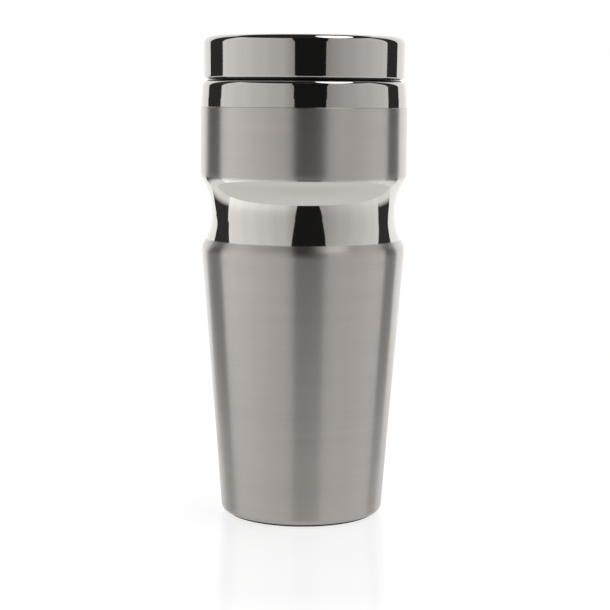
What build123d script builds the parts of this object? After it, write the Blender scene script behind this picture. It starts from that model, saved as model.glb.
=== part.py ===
from build123d import *
import os
from math import degrees, pi, tan

# Insulated travel mug, millimetres.  Z is up and z = 0 is the surface that the mug stands on.

# Clearances
soft_gap = 0.3  # around rubber and silicone pieces
moving_gap = 0.35  # between pieces that move past each other
fixed_fit = 0.05  # between pieces pushed together for good
stem_fit = 0.05  # radial running fit of the valve stem

# Foot
pad_thickness = 0.8
pad_inset = 0.2  # pad edge inside the foot's rounding
pad_rim = 7.4  # width of the ring that the mug stands on
pad_recess_depth = 0.3
foot_flange = 3.1  # width of the turned-in foot
foot_rounding = 2.4

# Outer wall, from the foot up: tapered body, waist, straight band
shell_wall = 0.6
waist_radius = 35.7
shoulder_flare = 3.75  # how far the shoulder stands out from the waist
body_taper = 8.0  # radius lost from the shoulder to the foot
body_height = 104.2
lower_cone_height = 7.9
waist_height = 11.0
upper_cone_height = 8.7
band_height = 26.5
shoulder_rounding = 6.0
waist_rounding = 20.0
band_rounding = 8.0

# Inner vessel
liner_wall = 0.5
waist_vacuum_gap = 2.8
foot_vacuum_gap = 3.95
liner_lift = 7.7  # space under the inner vessel's floor
liner_floor_rounding = 7.0
liner_floor_rim = 1.5  # straight edge above the floor's rounding, up to the weld
ledge_width = 3.7
neck_depth = 19.35
ledge_rounding = 0.8

# Mouth collar
collar_wall = 0.8
collar_depth = 3.65  # from the neck to the collar's outside
collar_step = 0.15  # how far the band stands out from the collar
collar_height = 10.25
collar_draft = 0.45
collar_straight = 3.1  # height before the draft begins
collar_rounding = 2.6
collar_lip_length = 3.2
collar_spigot_length = 5.0
collar_spigot_wall = 0.6

# Base plate with its evacuation hole and getter
plate_wall = 0.6
plate_overlap = 2.9
dimple_radius = 5.0
dimple_depth = 1.2
seal_hole_radius = 1.2
seal_thickness = 0.7
getter_radius = 4.5
getter_height = 2.0
getter_offset = 15.0

# Lid cap of polished steel
lid_gap = 0.7  # open line between the collar and the lid
lid_height = 15.85
lid_step = 0.75  # how far the collar stands out from the lid
lid_wall = 0.8
lid_draft = 0.2
lid_rounding = 2.8
rim_width = 4.4
rim_inner_rounding = 1.3
rim_lip_length = 5.8
lid_edge_rounding = 0.7

# Lid body moulding
body_fit = 0.1
body_wall = 1.8
thread_room = 1.6  # radial space that the screw threads share
skirt_wall = 1.9
dish_depth = 9.9
dish_floor = 2.2
dish_run = 2.4
dish_slope_run = 2.9
dish_slope_rise = 1.4
port_count = 12
port_width = 3.6
port_bar = 4.0
port_inset = 5.0
web_count = 6
web_thickness = 1.6
weld_rib = 1.8  # ring under the dish that centres the skirt
stop_width = 1.0  # ring that rests over the collar when the lid is screwed home

# Plug end of the lid body, with the gasket groove and the valve seat
gasket_height = 2.8
gasket_grip = 0.45
flange_height = 1.4
seat_width = 3.8
hub_floor = 3.0
hub_floor_lift = 2.0  # hub underside above the ledge

# Push button and the pieces that hold it
button_overhang = 2.2  # how far the cap stands out from the crown
button_drop = 2.4  # button top below the drinking rim
button_stroke = 4.0
latch_drop = 3.0  # how far down the button stays when the valve is open
button_wall = 1.4
disc_thickness = 0.8
disc_rim = 0.9
hub_drop = 4.9  # hub top below the drinking rim
hub_wall = 1.8
hub_flange = 1.8
bezel_wall = 2.1
bezel_depth = 2.7
bezel_flange = 0.8
wiper_height = 1.4

# Click mechanism
crown_radius = 10.3
crown_wall = 1.8
crown_teeth = 8
crown_height = 1.6
guide_tube_height = 5.8
guide_land_height = 4.2
rotor_drop = 1.5  # crown root below the guide's shelf
rotor_length = 8.0
rotor_web = 1.5
rotor_rib_count = 4
rotor_rib_height = 2.1
rotor_rib_width = 2.4
rotor_rib_rise = 1.0
button_rib_height = 1.0
spring_gap = 0.6
spring_wire = 1.2
spring_turns = 5

# Valve
stem_radius = 2.4
stem_end_radius = 2.0
stem_head_radius = 4.3
stem_head_height = 1.3
clip_width = 1.7
clip_thickness = 0.7
stem_seal_width = 2.3
stem_seal_height = 1.3
valve_gasket_width = 3.0
valve_gasket_height = 2.6
valve_plate_thickness = 1.8
valve_plate_dome = 0.9
locator_wall = 2.0
locator_height = 2.4
boss_radius = 5.5
boss_height = 3.6
nut_radius = 8.0
nut_height = 3.6
nut_grips = 6
nut_grip_radius = 2.2

# Radii that follow from the values above
shoulder_radius = waist_radius + shoulder_flare
foot_radius = shoulder_radius - body_taper
throat_radius = waist_radius - shell_wall - waist_vacuum_gap - liner_wall
neck_radius = throat_radius + ledge_width
collar_bore = neck_radius + liner_wall + fixed_fit
collar_radius = collar_bore + collar_depth
band_radius = collar_radius + collar_step
foot_flat_radius = foot_radius - foot_rounding
pad_radius = foot_flat_radius - pad_inset
foot_opening_radius = foot_flat_radius - foot_flange
liner_foot_radius = foot_radius - shell_wall - foot_vacuum_gap - liner_wall
lid_radius = collar_radius - lid_step
lip_radius = lid_radius - rim_width
body_radius = lid_radius - lid_draft - lid_wall - body_fit
skirt_radius = neck_radius - thread_room
chamber_radius = skirt_radius - skirt_wall
flange_radius = throat_radius - moving_gap
gasket_bore = flange_radius - gasket_grip
groove_radius = gasket_bore - soft_gap
seat_radius = groove_radius - seat_width
valve_gasket_bore = seat_radius + soft_gap
button_radius = crown_radius + button_overhang
bezel_bore = button_radius + moving_gap
hub_bore = bezel_bore + bezel_wall + fixed_fit
hub_radius = hub_bore + hub_wall
guide_bore = crown_radius + soft_gap
spring_radius = crown_radius - crown_wall - spring_gap - spring_wire / 2
rib_radius = crown_radius + rotor_rib_height
hub_lower_bore = rib_radius + 3 * moving_gap
stem_seal_radius = stem_radius + soft_gap + stem_seal_width

# Heights that follow from the values above
shoulder_z = pad_thickness + body_height
waist_bottom_z = shoulder_z + lower_cone_height
waist_top_z = waist_bottom_z + waist_height
band_bottom_z = waist_top_z + upper_cone_height
band_top_z = band_bottom_z + band_height
mouth_z = band_top_z + collar_height
ledge_z = mouth_z - neck_depth
plate_z = pad_thickness + shell_wall
liner_floor_z = pad_thickness + liner_lift + liner_wall
liner_weld_z = liner_floor_z + liner_floor_rounding + liner_floor_rim
stop_z = mouth_z + soft_gap
lid_bottom_z = mouth_z + lid_gap
rim_z = lid_bottom_z + lid_height
lip_bottom_z = rim_z - rim_lip_length
dish_z = rim_z - dish_depth
ceiling_z = dish_z - dish_floor
seat_z = ledge_z - flange_height
gasket_z = ledge_z + soft_gap
groove_top_z = gasket_z + gasket_height + soft_gap
hub_bottom_z = ledge_z + hub_floor_lift
spring_seat_z = hub_bottom_z + hub_floor
hub_top_z = rim_z - hub_drop
bezel_bottom_z = hub_top_z - bezel_depth
wiper_z = bezel_bottom_z - soft_gap - wiper_height
guide_top_z = wiper_z - soft_gap
guide_shelf_z = guide_top_z - guide_tube_height
guide_bottom_z = guide_shelf_z - guide_land_height
button_top_z = rim_z - button_drop
button_head_z = guide_shelf_z + button_stroke + moving_gap
crown_z = guide_shelf_z - rotor_drop
rotor_web_z = crown_z - rotor_web
rib_top_z = crown_z + rotor_rib_rise
valve_gasket_z = seat_z - soft_gap - valve_gasket_height
plate_top_z = valve_gasket_z - soft_gap
plate_bottom_z = plate_top_z - valve_plate_thickness
boss_top_z = plate_top_z + boss_height


def turned(*corners):
    """Solid turned about Z from (radius, height) corners; a third number rounds that corner."""
    outline = make_face(Polyline(*[corner[:2] for corner in corners], close=True))
    for corner in corners:
        if len(corner) == 3:
            vertex = outline.vertices().sort_by_distance((corner[0], corner[1], 0))[0]
            outline = fillet(vertex, corner[2])
    return revolve(Plane.XZ * outline, axis=Axis.Z)


def open_vessel(wall, *corners):
    """Vessel of even wall, open at its highest face, with the given outside corners."""
    solid = turned(*corners)
    return offset(solid, amount=-wall, openings=solid.faces().sort_by(Axis.Z)[-1])


def radial_prism(inner, outer, *points):
    """Prism that runs outward along X, with a side outline of (across, height) points."""
    start = Plane(origin=(inner, 0, 0), x_dir=(0, 1, 0), z_dir=(1, 0, 0))
    return extrude(start * make_face(Polyline(*points, close=True)), amount=outer - inner)


def radial_bar(inner, outer, width, bottom, top):
    """Straight block that runs outward along X."""
    half = width / 2
    return radial_prism(inner, outer, (-half, bottom), (half, bottom), (half, top), (-half, top))


def ring_of(count, shape, first_angle=0):
    """Copies of the shape spaced evenly about Z."""
    return [Rot(0, 0, first_angle + 360 * i / count) * shape for i in range(count)]


def crown(root_z):
    """Ring of pointed teeth as wide as the crown wall."""
    inner = crown_radius - crown_wall
    half_tooth = inner * tan(pi / crown_teeth)
    tip_z = root_z + crown_height
    tooth = radial_prism(
        0.8 * inner, crown_radius + 1, (-half_tooth, root_z), (half_tooth, root_z), (0, tip_z)
    )
    wall = turned((inner, root_z), (crown_radius, root_z), (crown_radius, tip_z), (inner, tip_z))
    return wall & (Part() + ring_of(crown_teeth, tooth))


def outer_shell():
    """Steel outer wall with its waist, turned in at the foot and open at the band's top."""
    vessel = open_vessel(
        shell_wall,
        (0, pad_thickness),
        (foot_radius, pad_thickness, foot_rounding),
        (shoulder_radius, shoulder_z, shoulder_rounding),
        (waist_radius, waist_bottom_z, waist_rounding),
        (waist_radius, waist_top_z, waist_rounding),
        (band_radius, band_bottom_z, band_rounding),
        (band_radius, band_top_z),
        (0, band_top_z),
    )
    return vessel - Cylinder(foot_opening_radius, 2 * plate_z)


def drinking_vessel():
    """Steel inner vessel, with a wide neck above the ledge that the lid seals on."""
    return open_vessel(
        liner_wall,
        (0, liner_floor_z - liner_wall),
        (liner_foot_radius + liner_wall, liner_floor_z - liner_wall, liner_floor_rounding),
        (throat_radius + liner_wall, shoulder_z, waist_rounding),
        (throat_radius + liner_wall, ledge_z - liner_wall, ledge_rounding),
        (neck_radius + liner_wall, ledge_z - liner_wall, ledge_rounding + liner_wall),
        (neck_radius + liner_wall, mouth_z - collar_wall),
        (0, mouth_z - collar_wall),
    )


def inner_liner():
    """Wall of the inner vessel, from the weld over its floor up to the mouth."""
    return split(drinking_vessel(), bisect_by=Plane.XY.offset(liner_weld_z), keep=Keep.TOP)


def liner_floor():
    """Pressed floor of the inner vessel, butted on the wall's lower edge."""
    return split(drinking_vessel(), bisect_by=Plane.XY.offset(liner_weld_z), keep=Keep.BOTTOM)


def mouth_collar():
    """Polished ring that joins the two walls: a lip round the neck, a spigot in the band."""
    spigot_radius = band_radius - shell_wall - fixed_fit
    inside = spigot_radius - collar_spigot_wall
    lip_outside = collar_bore + collar_wall
    return turned(
        (inside, band_top_z - collar_spigot_length),
        (spigot_radius, band_top_z - collar_spigot_length),
        (spigot_radius, band_top_z),
        (collar_radius, band_top_z),
        (collar_radius, band_top_z + collar_straight, collar_rounding),
        (collar_radius - collar_draft, mouth_z, collar_rounding),
        (collar_bore, mouth_z, 0.5 * collar_wall),
        (collar_bore, mouth_z - collar_lip_length),
        (lip_outside, mouth_z - collar_lip_length),
        (lip_outside, mouth_z - collar_wall),
        (inside - collar_draft, mouth_z - collar_wall, 0.4 * collar_rounding),
        (inside, band_top_z + collar_straight, 0.4 * collar_rounding),
    )


def base_plate():
    """Disc that closes the vacuum space, dimpled round the evacuation hole."""
    rim = foot_opening_radius + plate_overlap
    return turned(
        (seal_hole_radius, plate_z + dimple_depth),
        (dimple_radius, plate_z + dimple_depth),
        (dimple_radius, plate_z),
        (rim, plate_z),
        (rim, plate_z + plate_wall),
        (dimple_radius + plate_wall, plate_z + plate_wall),
        (dimple_radius + plate_wall, plate_z + dimple_depth + plate_wall),
        (seal_hole_radius, plate_z + dimple_depth + plate_wall),
    )


def vacuum_seal():
    """Solder pill that plugs the evacuation hole from below."""
    hole_z = plate_z + dimple_depth
    return turned(
        (0, hole_z - seal_thickness),
        (dimple_radius - soft_gap, hole_z - seal_thickness, 0.3 * seal_thickness),
        (dimple_radius - soft_gap, hole_z),
        (seal_hole_radius - fixed_fit, hole_z),
        (seal_hole_radius - fixed_fit, hole_z + plate_wall),
        (0, hole_z + plate_wall),
    )


def getter():
    """Capsule on the base plate that soaks up stray gas in the vacuum space."""
    bottom = plate_z + plate_wall
    return Pos(getter_offset, 0, 0) * turned(
        (0, bottom),
        (getter_radius, bottom),
        (getter_radius, bottom + getter_height, 0.2 * getter_height),
        (0, bottom + getter_height),
    )


def base_pad():
    """Rubber disc under the foot, hollowed slightly so that it stands on its rim."""
    return turned(
        (0, pad_recess_depth),
        (pad_radius - pad_rim, pad_recess_depth),
        (pad_radius - pad_rim, 0),
        (pad_radius, 0),
        (pad_radius, pad_thickness),
        (0, pad_thickness),
    )


def lid_shell():
    """Polished cap: an outer wall rolled over the drinking rim into a lip inside the dish."""
    foot_outside = lid_radius - lid_draft
    lip_outside = lip_radius + lid_wall
    return turned(
        (foot_outside, lid_bottom_z, lid_edge_rounding),
        (lid_radius, rim_z, lid_rounding),
        (lip_radius, rim_z, rim_inner_rounding),
        (lip_radius, lip_bottom_z),
        (lip_outside, lip_bottom_z),
        (lip_outside, rim_z - lid_wall, rim_inner_rounding - lid_wall),
        (lid_radius - lid_wall, rim_z - lid_wall, lid_rounding - lid_wall),
        (foot_outside - lid_wall, lid_bottom_z),
    )


def lid_body():
    """Moulding that carries the cap: rim, stop ring, and the dish with its ring of ports."""
    rim_bore = lip_radius + lid_wall + body_fit
    rim_top_z = rim_z - lid_wall - body_fit
    shell_foot_z = lid_bottom_z + lid_edge_rounding
    step_z = lip_bottom_z - body_fit
    rib_outside = chamber_radius - fixed_fit
    rib_inside = rib_outside - weld_rib
    moulding = turned(
        (hub_radius + fixed_fit, ceiling_z),
        (rib_inside, ceiling_z),
        (rib_inside, ceiling_z - dish_floor),
        (rib_outside, ceiling_z - dish_floor),
        (rib_outside, dish_z),
        (body_radius - body_wall, dish_z, 0.4 * body_wall),
        (body_radius - body_wall, stop_z),
        (body_radius - body_wall + stop_width, stop_z),
        (body_radius - body_wall + stop_width, shell_foot_z),
        (body_radius, shell_foot_z),
        (body_radius, rim_top_z, lid_rounding - lid_wall - body_fit),
        (rim_bore, rim_top_z, rim_inner_rounding - lid_wall - body_fit),
        (rim_bore, step_z),
        (lip_radius, step_z),
        (lip_radius - dish_run, dish_z + dish_slope_rise, dish_slope_run),
        (lip_radius - dish_slope_run - dish_run, dish_z, dish_slope_run),
        (hub_radius + fixed_fit, dish_z),
    )
    web = radial_bar(
        hub_radius + hub_flange + soft_gap,
        rib_inside + 0.5 * weld_rib,
        web_thickness,
        ceiling_z - dish_floor,
        ceiling_z + 0.5 * dish_floor,
    )
    moulding += ring_of(web_count, web, 180 / port_count)
    return moulding - ring_of(port_count, drinking_port())


def hub_tube():
    """Tube in the middle of the dish that houses the button, the click pieces and the spring."""
    stem_hole = stem_radius + stem_fit
    seal_pocket = stem_seal_radius + soft_gap
    seal_pocket_z = hub_bottom_z + stem_seal_height + soft_gap
    foot = hub_lower_bore + hub_wall
    return turned(
        (seal_pocket, seal_pocket_z),
        (seal_pocket, hub_bottom_z),
        (foot, hub_bottom_z, 0.5 * hub_wall),
        (foot, guide_bottom_z - 2 * hub_wall, hub_wall),
        (hub_radius, guide_bottom_z - hub_wall, hub_wall),
        (hub_radius, ceiling_z - hub_flange),
        (hub_radius + hub_flange, ceiling_z - hub_flange, 0.3 * hub_flange),
        (hub_radius + hub_flange, ceiling_z),
        (hub_radius, ceiling_z),
        (hub_radius, hub_top_z, 0.3 * hub_wall),
        (hub_bore, hub_top_z),
        (hub_bore, guide_bottom_z),
        (hub_lower_bore, guide_bottom_z),
        (hub_lower_bore, spring_seat_z),
        (stem_hole, spring_seat_z),
        (stem_hole, seal_pocket_z),
    )


def screw_skirt():
    """Wall of the flow chamber: screw outside, gasket groove and valve seat at its lower end."""
    return turned(
        (seat_radius, seat_z, 0.2 * flange_height),
        (flange_radius, seat_z, 0.2 * flange_height),
        (flange_radius, ledge_z),
        (groove_radius, ledge_z),
        (groove_radius, groove_top_z),
        (skirt_radius, groove_top_z),
        (skirt_radius, dish_z),
        (chamber_radius, dish_z),
        (chamber_radius, groove_top_z + seat_width, seat_width),
        (seat_radius, ledge_z + flange_height),
    )


def drinking_port():
    """Curved slot through the dish floor, with round ends."""
    port_radius = chamber_radius - port_inset
    pitch = 2 * pi * port_radius / port_count
    sweep_angle = degrees((pitch - port_bar - port_width) / port_radius)
    centre_line = CenterArc((0, 0), port_radius, -sweep_angle / 2, sweep_angle)
    slot = SlotArc(centre_line, port_width)
    return extrude(Pos(0, 0, ceiling_z - 1) * slot, amount=dish_floor + 2)


def lid_gasket():
    """Silicone ring in the groove of the plug, which seals on the ledge of the neck."""
    outside = skirt_radius + soft_gap
    return turned(
        (gasket_bore, gasket_z),
        (outside, gasket_z, 0.25 * gasket_height),
        (outside, gasket_z + gasket_height, 0.25 * gasket_height),
        (gasket_bore, gasket_z + gasket_height),
    )


def button_bezel():
    """Polished ring pushed into the hub, which keeps the guide and the button in."""
    outside = hub_bore - fixed_fit
    flange = hub_radius - 0.2 * hub_wall
    return turned(
        (bezel_bore, bezel_bottom_z),
        (outside, bezel_bottom_z),
        (outside, hub_top_z),
        (flange, hub_top_z),
        (flange, hub_top_z + bezel_flange, 0.6 * bezel_flange),
        (bezel_bore, hub_top_z + bezel_flange, 0.4 * bezel_flange),
    )


def button_seal():
    """Silicone wiper between the bezel and the guide, with its lip toward the button."""
    outside = hub_bore - soft_gap
    top = wiper_z + wiper_height
    return turned(
        (button_radius + soft_gap, wiper_z + 0.5 * wiper_height),
        (outside - 0.5 * bezel_wall, wiper_z),
        (outside, wiper_z),
        (outside, top),
        (button_radius + soft_gap, top),
    )


def click_guide():
    """Sleeve with grooves for the ribs and a saw-toothed lower edge that the rotor latches on."""
    outside = hub_bore - fixed_fit
    sleeve = turned(
        (guide_bore, guide_bottom_z),
        (outside, guide_bottom_z),
        (outside, guide_top_z),
        (bezel_bore, guide_top_z),
        (bezel_bore, guide_shelf_z),
        (guide_bore, guide_shelf_z),
    )
    groove_width = rotor_rib_width + 2 * moving_gap
    shallow = crown_radius + button_rib_height + moving_gap
    deep = rib_radius + moving_gap
    bottom = guide_bottom_z - 1
    top = guide_shelf_z + 1
    sleeve -= ring_of(crown_teeth, radial_bar(0, shallow, groove_width, bottom, top))
    sleeve -= ring_of(rotor_rib_count, radial_bar(0, deep, groove_width, bottom, top))
    half_notch = guide_bore * tan(pi / crown_teeth)
    notch_z = rib_top_z - latch_drop + soft_gap
    notch = radial_prism(
        0, 2 * deep, (-half_notch, bottom), (half_notch, bottom), (half_notch, notch_z),
        (-half_notch, guide_bottom_z),
    )
    notches = Cylinder(deep, 3 * rim_z) & (Part() + ring_of(crown_teeth, notch))
    return sleeve - notches


def push_button():
    """Cap with a recess for the disc, and an inner sleeve with a crown at its lower end."""
    floor_z = button_top_z - disc_thickness
    roof_z = floor_z - button_wall
    crown_end_z = crown_z + soft_gap
    sleeve_bore = crown_radius - crown_wall
    cap = turned(
        (0, roof_z),
        (sleeve_bore, roof_z),
        (sleeve_bore, crown_end_z),
        (crown_radius, crown_end_z),
        (crown_radius, roof_z),
        (button_radius - button_wall, roof_z),
        (button_radius - button_wall, button_head_z),
        (button_radius, button_head_z),
        (button_radius, button_top_z, 0.5 * disc_rim),
        (button_radius - disc_rim, button_top_z),
        (button_radius - disc_rim, floor_z),
        (0, floor_z),
    )
    rib = radial_bar(
        crown_radius - 0.5 * crown_wall,
        crown_radius + button_rib_height,
        rotor_rib_width,
        rib_top_z + moving_gap,
        roof_z,
    )
    cap += ring_of(crown_teeth, rib)
    return cap - crown(crown_end_z)


def button_disc():
    """Bare steel disc let into the top of the button."""
    outside = button_radius - disc_rim - fixed_fit
    return turned(
        (0, button_top_z - disc_thickness),
        (outside, button_top_z - disc_thickness),
        (outside, button_top_z, 0.3 * disc_thickness),
        (0, button_top_z),
    )


def rotor():
    """Cup over the spring that turns one tooth at each press, with ribs that lock under the guide."""
    bottom = crown_z - rotor_length
    cup_bore = crown_radius - crown_wall
    cup = turned(
        (cup_bore, bottom),
        (crown_radius, bottom),
        (crown_radius, crown_z),
        (stem_radius + stem_fit, crown_z),
        (stem_radius + stem_fit, rotor_web_z),
        (cup_bore, rotor_web_z),
    )
    half = rotor_rib_width / 2
    rib = radial_prism(
        crown_radius - 0.5 * crown_wall,
        rib_radius,
        (-half, bottom + half),
        (half, bottom + half),
        (half, rib_top_z),
        (-half, rib_top_z - half / 2),
    )
    ribs = Cylinder(rib_radius, 3 * rim_z) & (Part() + ring_of(rotor_rib_count, rib))
    return cup + ribs + crown(crown_z)


def return_spring():
    """Coil between the hub floor and the rotor, which lifts the valve shut."""
    first_z = spring_seat_z + spring_wire / 2 + fixed_fit
    last_z = rotor_web_z - spring_wire / 2 - fixed_fit
    path = Helix((last_z - first_z) / spring_turns, last_z - first_z, spring_radius)
    section = Plane(origin=path @ 0, z_dir=path % 0) * Circle(spring_wire / 2)
    return Pos(0, 0, first_z) * sweep(section, path=path, is_frenet=True)


def valve_stem():
    """Rod from the rotor, through the hub floor, to the valve plate and its nut."""
    end_z = plate_bottom_z - nut_height
    head_z = crown_z + fixed_fit
    return turned(
        (0, end_z),
        (stem_end_radius, end_z),
        (stem_end_radius, boss_top_z),
        (stem_radius, boss_top_z),
        (stem_radius, head_z),
        (stem_head_radius, head_z),
        (stem_head_radius, head_z + stem_head_height, 0.3 * stem_head_height),
        (0, head_z + stem_head_height),
    )


def stem_clip():
    """Washer clipped on the stem under the rotor, so that a press also pushes the stem down."""
    inside = stem_radius + fixed_fit
    top = rotor_web_z - fixed_fit
    return turned(
        (inside, top - clip_thickness),
        (inside + clip_width, top - clip_thickness),
        (inside + clip_width, top),
        (inside, top),
    )


def stem_seal():
    """Silicone ring in the underside of the hub, round the stem."""
    inside = stem_radius + soft_gap
    top = hub_bottom_z + stem_seal_height
    return turned(
        (inside, hub_bottom_z),
        (stem_seal_radius, hub_bottom_z),
        (stem_seal_radius, top),
        (inside, top, 0.3 * stem_seal_height),
    )


def valve_plate():
    """Disc that closes the plug from below, with a ring that centres its gasket."""
    stem_hole = stem_end_radius + fixed_fit
    rim = valve_gasket_bore + valve_gasket_width
    locator = valve_gasket_bore - soft_gap
    return turned(
        (stem_hole, plate_bottom_z),
        (nut_radius, plate_bottom_z),
        (rim, plate_bottom_z + valve_plate_dome, 0.4 * valve_plate_dome),
        (rim, plate_top_z),
        (locator, plate_top_z),
        (locator, plate_top_z + locator_height, 0.3 * locator_wall),
        (locator - locator_wall, plate_top_z + locator_height, 0.3 * locator_wall),
        (locator - locator_wall, plate_top_z, 0.5 * locator_wall),
        (boss_radius, plate_top_z, 0.5 * locator_wall),
        (boss_radius, boss_top_z, 0.3 * locator_wall),
        (stem_hole, boss_top_z),
    )


def valve_gasket():
    """Silicone ring on the valve plate, rounded where it meets the seat."""
    outside = valve_gasket_bore + valve_gasket_width
    top = valve_gasket_z + valve_gasket_height
    return turned(
        (valve_gasket_bore, valve_gasket_z),
        (outside, valve_gasket_z),
        (outside, top, 0.4 * valve_gasket_width),
        (valve_gasket_bore, top, 0.4 * valve_gasket_width),
    )


def valve_nut():
    """Finger nut that holds the valve plate on the stem and comes off for washing."""
    hole = stem_end_radius + fixed_fit
    knob = turned(
        (hole, plate_bottom_z - nut_height),
        (nut_radius, plate_bottom_z - nut_height, 0.3 * nut_height),
        (nut_radius, plate_bottom_z),
        (hole, plate_bottom_z),
    )
    grip = Pos(nut_radius + 0.5 * nut_grip_radius, 0, plate_bottom_z) * Cylinder(
        nut_grip_radius, 3 * nut_height
    )
    return knob - ring_of(nut_grips, grip)


nodes = (
    outer_shell,
    inner_liner,
    liner_floor,
    mouth_collar,
    base_plate,
    vacuum_seal,
    getter,
    base_pad,
    lid_shell,
    lid_body,
    hub_tube,
    screw_skirt,
    lid_gasket,
    button_bezel,
    button_seal,
    click_guide,
    push_button,
    button_disc,
    rotor,
    return_spring,
    valve_stem,
    stem_clip,
    stem_seal,
    valve_plate,
    valve_gasket,
    valve_nut,
)

os.makedirs("parts", exist_ok=True)
for node in nodes:
    export_step(node(), f"parts/{node.__name__}.step")
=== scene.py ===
import bmesh
import bpy
import numpy as np
from mathutils import Euler, Matrix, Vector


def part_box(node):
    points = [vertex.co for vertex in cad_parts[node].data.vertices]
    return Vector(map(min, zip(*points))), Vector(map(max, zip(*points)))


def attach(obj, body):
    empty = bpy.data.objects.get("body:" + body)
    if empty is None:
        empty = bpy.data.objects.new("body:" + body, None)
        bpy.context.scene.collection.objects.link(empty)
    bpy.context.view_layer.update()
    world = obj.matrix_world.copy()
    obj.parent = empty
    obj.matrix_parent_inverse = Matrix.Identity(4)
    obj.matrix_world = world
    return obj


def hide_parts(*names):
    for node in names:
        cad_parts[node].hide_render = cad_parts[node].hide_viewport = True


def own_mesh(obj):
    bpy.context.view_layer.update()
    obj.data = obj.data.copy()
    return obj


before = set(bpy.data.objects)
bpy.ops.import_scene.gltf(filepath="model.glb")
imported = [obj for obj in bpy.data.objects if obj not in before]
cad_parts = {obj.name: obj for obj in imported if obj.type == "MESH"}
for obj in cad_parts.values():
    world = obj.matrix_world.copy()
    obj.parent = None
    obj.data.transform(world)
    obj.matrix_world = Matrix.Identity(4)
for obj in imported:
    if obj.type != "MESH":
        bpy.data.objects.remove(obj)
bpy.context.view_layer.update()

bl_info = {
    "name": "Insulated travel mug",
    "version": (1, 0, 0),
    "blender": (4, 5, 0),
    "location": "3D View > Sidebar > Mug",
    "description": "Dresses the mug's frame with turned steel, moulded plastic and silicone",
    "category": "Object",
}

mm = 0.001
turn = 2 * np.pi
fit = 0.05 * mm  # left between pieces that are pushed together for good
play = 0.3 * mm  # left round pieces that move or come out
moulded_wall = 1.8 * mm


# Places read from the frame

def low(node):
    """Lowest height of a frame node."""
    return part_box(node)[0].z


def high(node):
    """Greatest height of a frame node."""
    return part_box(node)[1].z


def reach(node):
    """Greatest distance of a frame node from the axis."""
    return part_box(node)[1].x


foot_z = low("outer_shell")
band_top_z = high("outer_shell")
mouth_z = high("mouth_collar")
lid_bottom_z = low("lid_shell")
rim_z = high("lid_shell")
dish_z = high("screw_skirt")
band_radius = reach("outer_shell")
collar_radius = reach("mouth_collar")
skirt_radius = reach("screw_skirt")
button_radius = reach("push_button")
hub_radius = reach("hub_tube") - moulded_wall
hub_floor_z = low("hub_tube") + 3 * mm
chamber_radius = skirt_radius - 1.9 * mm
ceiling_z = dish_z - 2.2 * mm


# Outlines: straight runs joined by tangent arcs

def rounded(corners, arc_step=5.0, longest=2.5 * mm, closed=True):
    """Outline through (radius, height, rounding) corners.

    Each rounded corner becomes an arc that is tangent to both of its runs: the arc starts
    rounding / tan(half the corner's angle) from the corner.  Straight runs get a point close
    to each end, which keeps their shading flat, and others no further apart than longest.
    """
    points = np.array([corner[:2] for corner in corners], float)
    rounding = [corner[2] if len(corner) > 2 else 0.0 for corner in corners]
    count = len(points)
    arcs = []
    for i in range(count):
        here = points[i]
        if rounding[i] == 0 or (not closed and i in (0, count - 1)):
            arcs.append(here[None, :])
            continue
        back = points[i - 1] - here
        ahead = points[(i + 1) % count] - here
        back /= np.linalg.norm(back)
        ahead /= np.linalg.norm(ahead)
        half = np.arccos(np.clip(back @ ahead, -1, 1)) / 2
        middle = (back + ahead) / np.linalg.norm(back + ahead)
        centre = here + middle * rounding[i] / np.sin(half)
        first = here + back * rounding[i] / np.tan(half) - centre
        last = here + ahead * rounding[i] / np.tan(half) - centre
        start = np.arctan2(first[1], first[0])
        sweep = (np.arctan2(last[1], last[0]) - start + np.pi) % turn - np.pi
        steps = max(3, int(np.ceil(np.degrees(abs(sweep)) / arc_step)))
        steps = max(steps, int(np.ceil(abs(sweep) * rounding[i] / longest)))
        angle = start + np.linspace(0, sweep, steps + 1)
        arcs.append(centre + rounding[i] * np.stack([np.cos(angle), np.sin(angle)], 1))
    outline = []
    for i in range(count):
        outline.append(arcs[i])
        if i < count - 1 or closed:
            outline.append(run_points(arcs[i][-1], arcs[(i + 1) % count][0], longest))
    return np.concatenate(outline)


def run_points(first, last, longest):
    """Points inside a straight run: one near each end, the rest evenly spaced."""
    length = np.linalg.norm(last - first)
    edge = min(0.12 * mm, length / 4)
    if length < 0.0001 * mm:
        return np.zeros((0, 2))
    inner = np.linspace(edge, length - edge, max(2, int(np.ceil(length / longest)) + 1))
    return first + (last - first) * (inner / length)[:, None]


def far_side(path, wall):
    """The path moved to its left by the wall, and run backwards."""
    along = np.gradient(path, axis=0)
    along /= np.linalg.norm(along, axis=1)[:, None]
    left = np.stack([-along[:, 1], along[:, 0]], 1)
    moved = path + wall * left
    moved[:, 0] = np.maximum(moved[:, 0], 0)
    return moved[::-1]


def walled(path, wall):
    """Closed section of even wall, between the path and its far side."""
    return np.concatenate([path, far_side(path, wall)])


def parted(path, height):
    """The parts of a rising path below and above a height, which both end exactly there."""
    after = np.argmax(path[:, 1] > height)
    before = path[after - 1]
    share = (height - before[1]) / (path[after, 1] - before[1])
    seam = before + share * (path[after] - before)
    return np.vstack([path[:after], seam]), np.vstack([seam, path[after:]])


def smooth(value):
    """Soft step from 0 to 1: 3 v^2 - 2 v^3, level outside that range."""
    value = np.clip(value, 0, 1)
    return value * value * (3 - 2 * value)


def stepped(value, start, over, before, after):
    """Goes softly from before to after where the value passes from start to start + over."""
    return before + (after - before) * smooth((value - start) / over)


# Surfaces worked out on a grid of two parameters

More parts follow.
